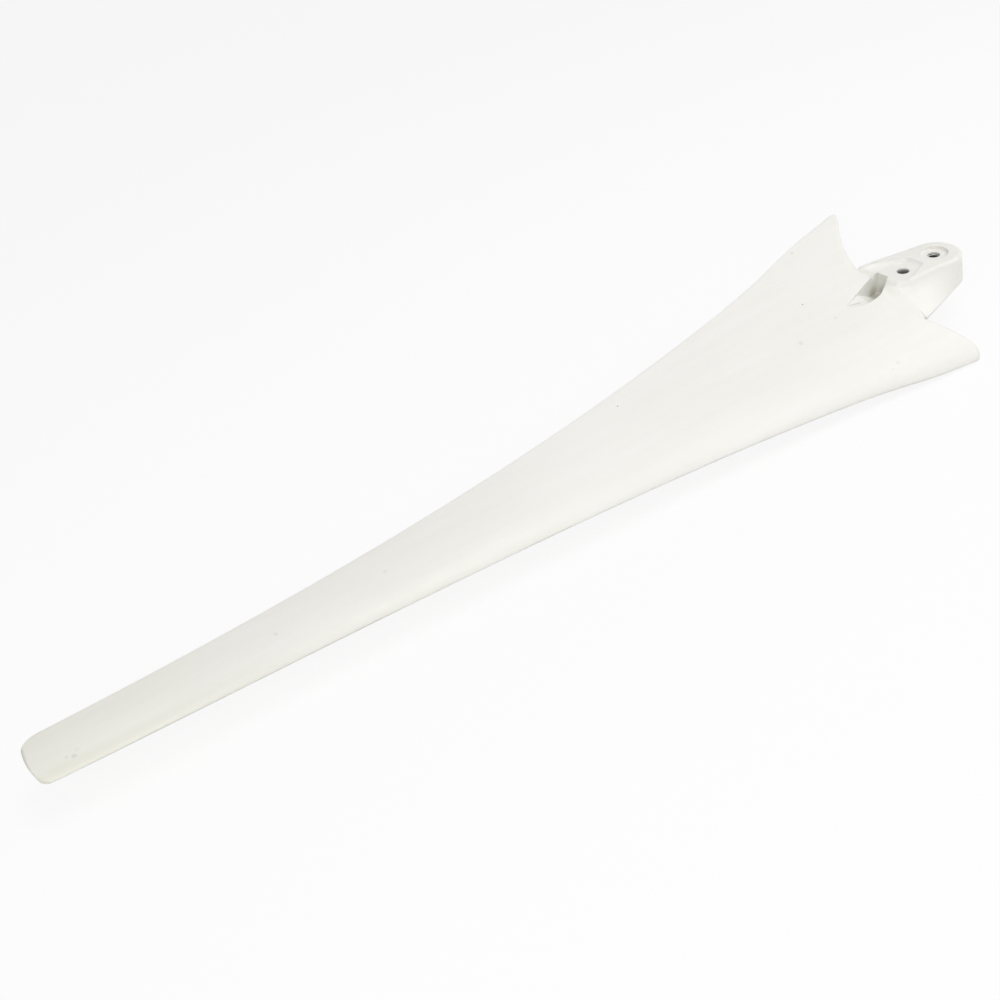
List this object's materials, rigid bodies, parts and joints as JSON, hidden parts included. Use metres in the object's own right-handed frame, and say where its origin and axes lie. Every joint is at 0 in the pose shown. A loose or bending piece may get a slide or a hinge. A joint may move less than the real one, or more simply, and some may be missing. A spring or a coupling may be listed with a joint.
{
  "type": "wind turbine blade",
  "caption": "Twisted one-piece blade for a small horizontal-axis wind turbine, with a fishtail root, a thick bolt lug, a core-out pocket and steel-bushed bolt holes",
  "frame": {"origin": "on the flat seat under the lug, midway between the two bolt holes", "axes": "+X runs out along the blade to its tip, +Y points to the leading edge, +Z is the bolt axis and points from the seat to the low-pressure side"},
  "size_m": [0.5636, 0.1093, 0.0593],
  "materials": {
    "moulded_nylon": "satin off-white injection-moulded glass-filled nylon",
    "steel_inner": "turned zinc-plated steel",
    "steel_outer": "turned zinc-plated steel"
  },
  "bodies": {
    "root": {"blade_moulding": "moulded_nylon", "bush_inner": "steel_inner", "bush_outer": "steel_outer"}
  },
  "joints": []
}
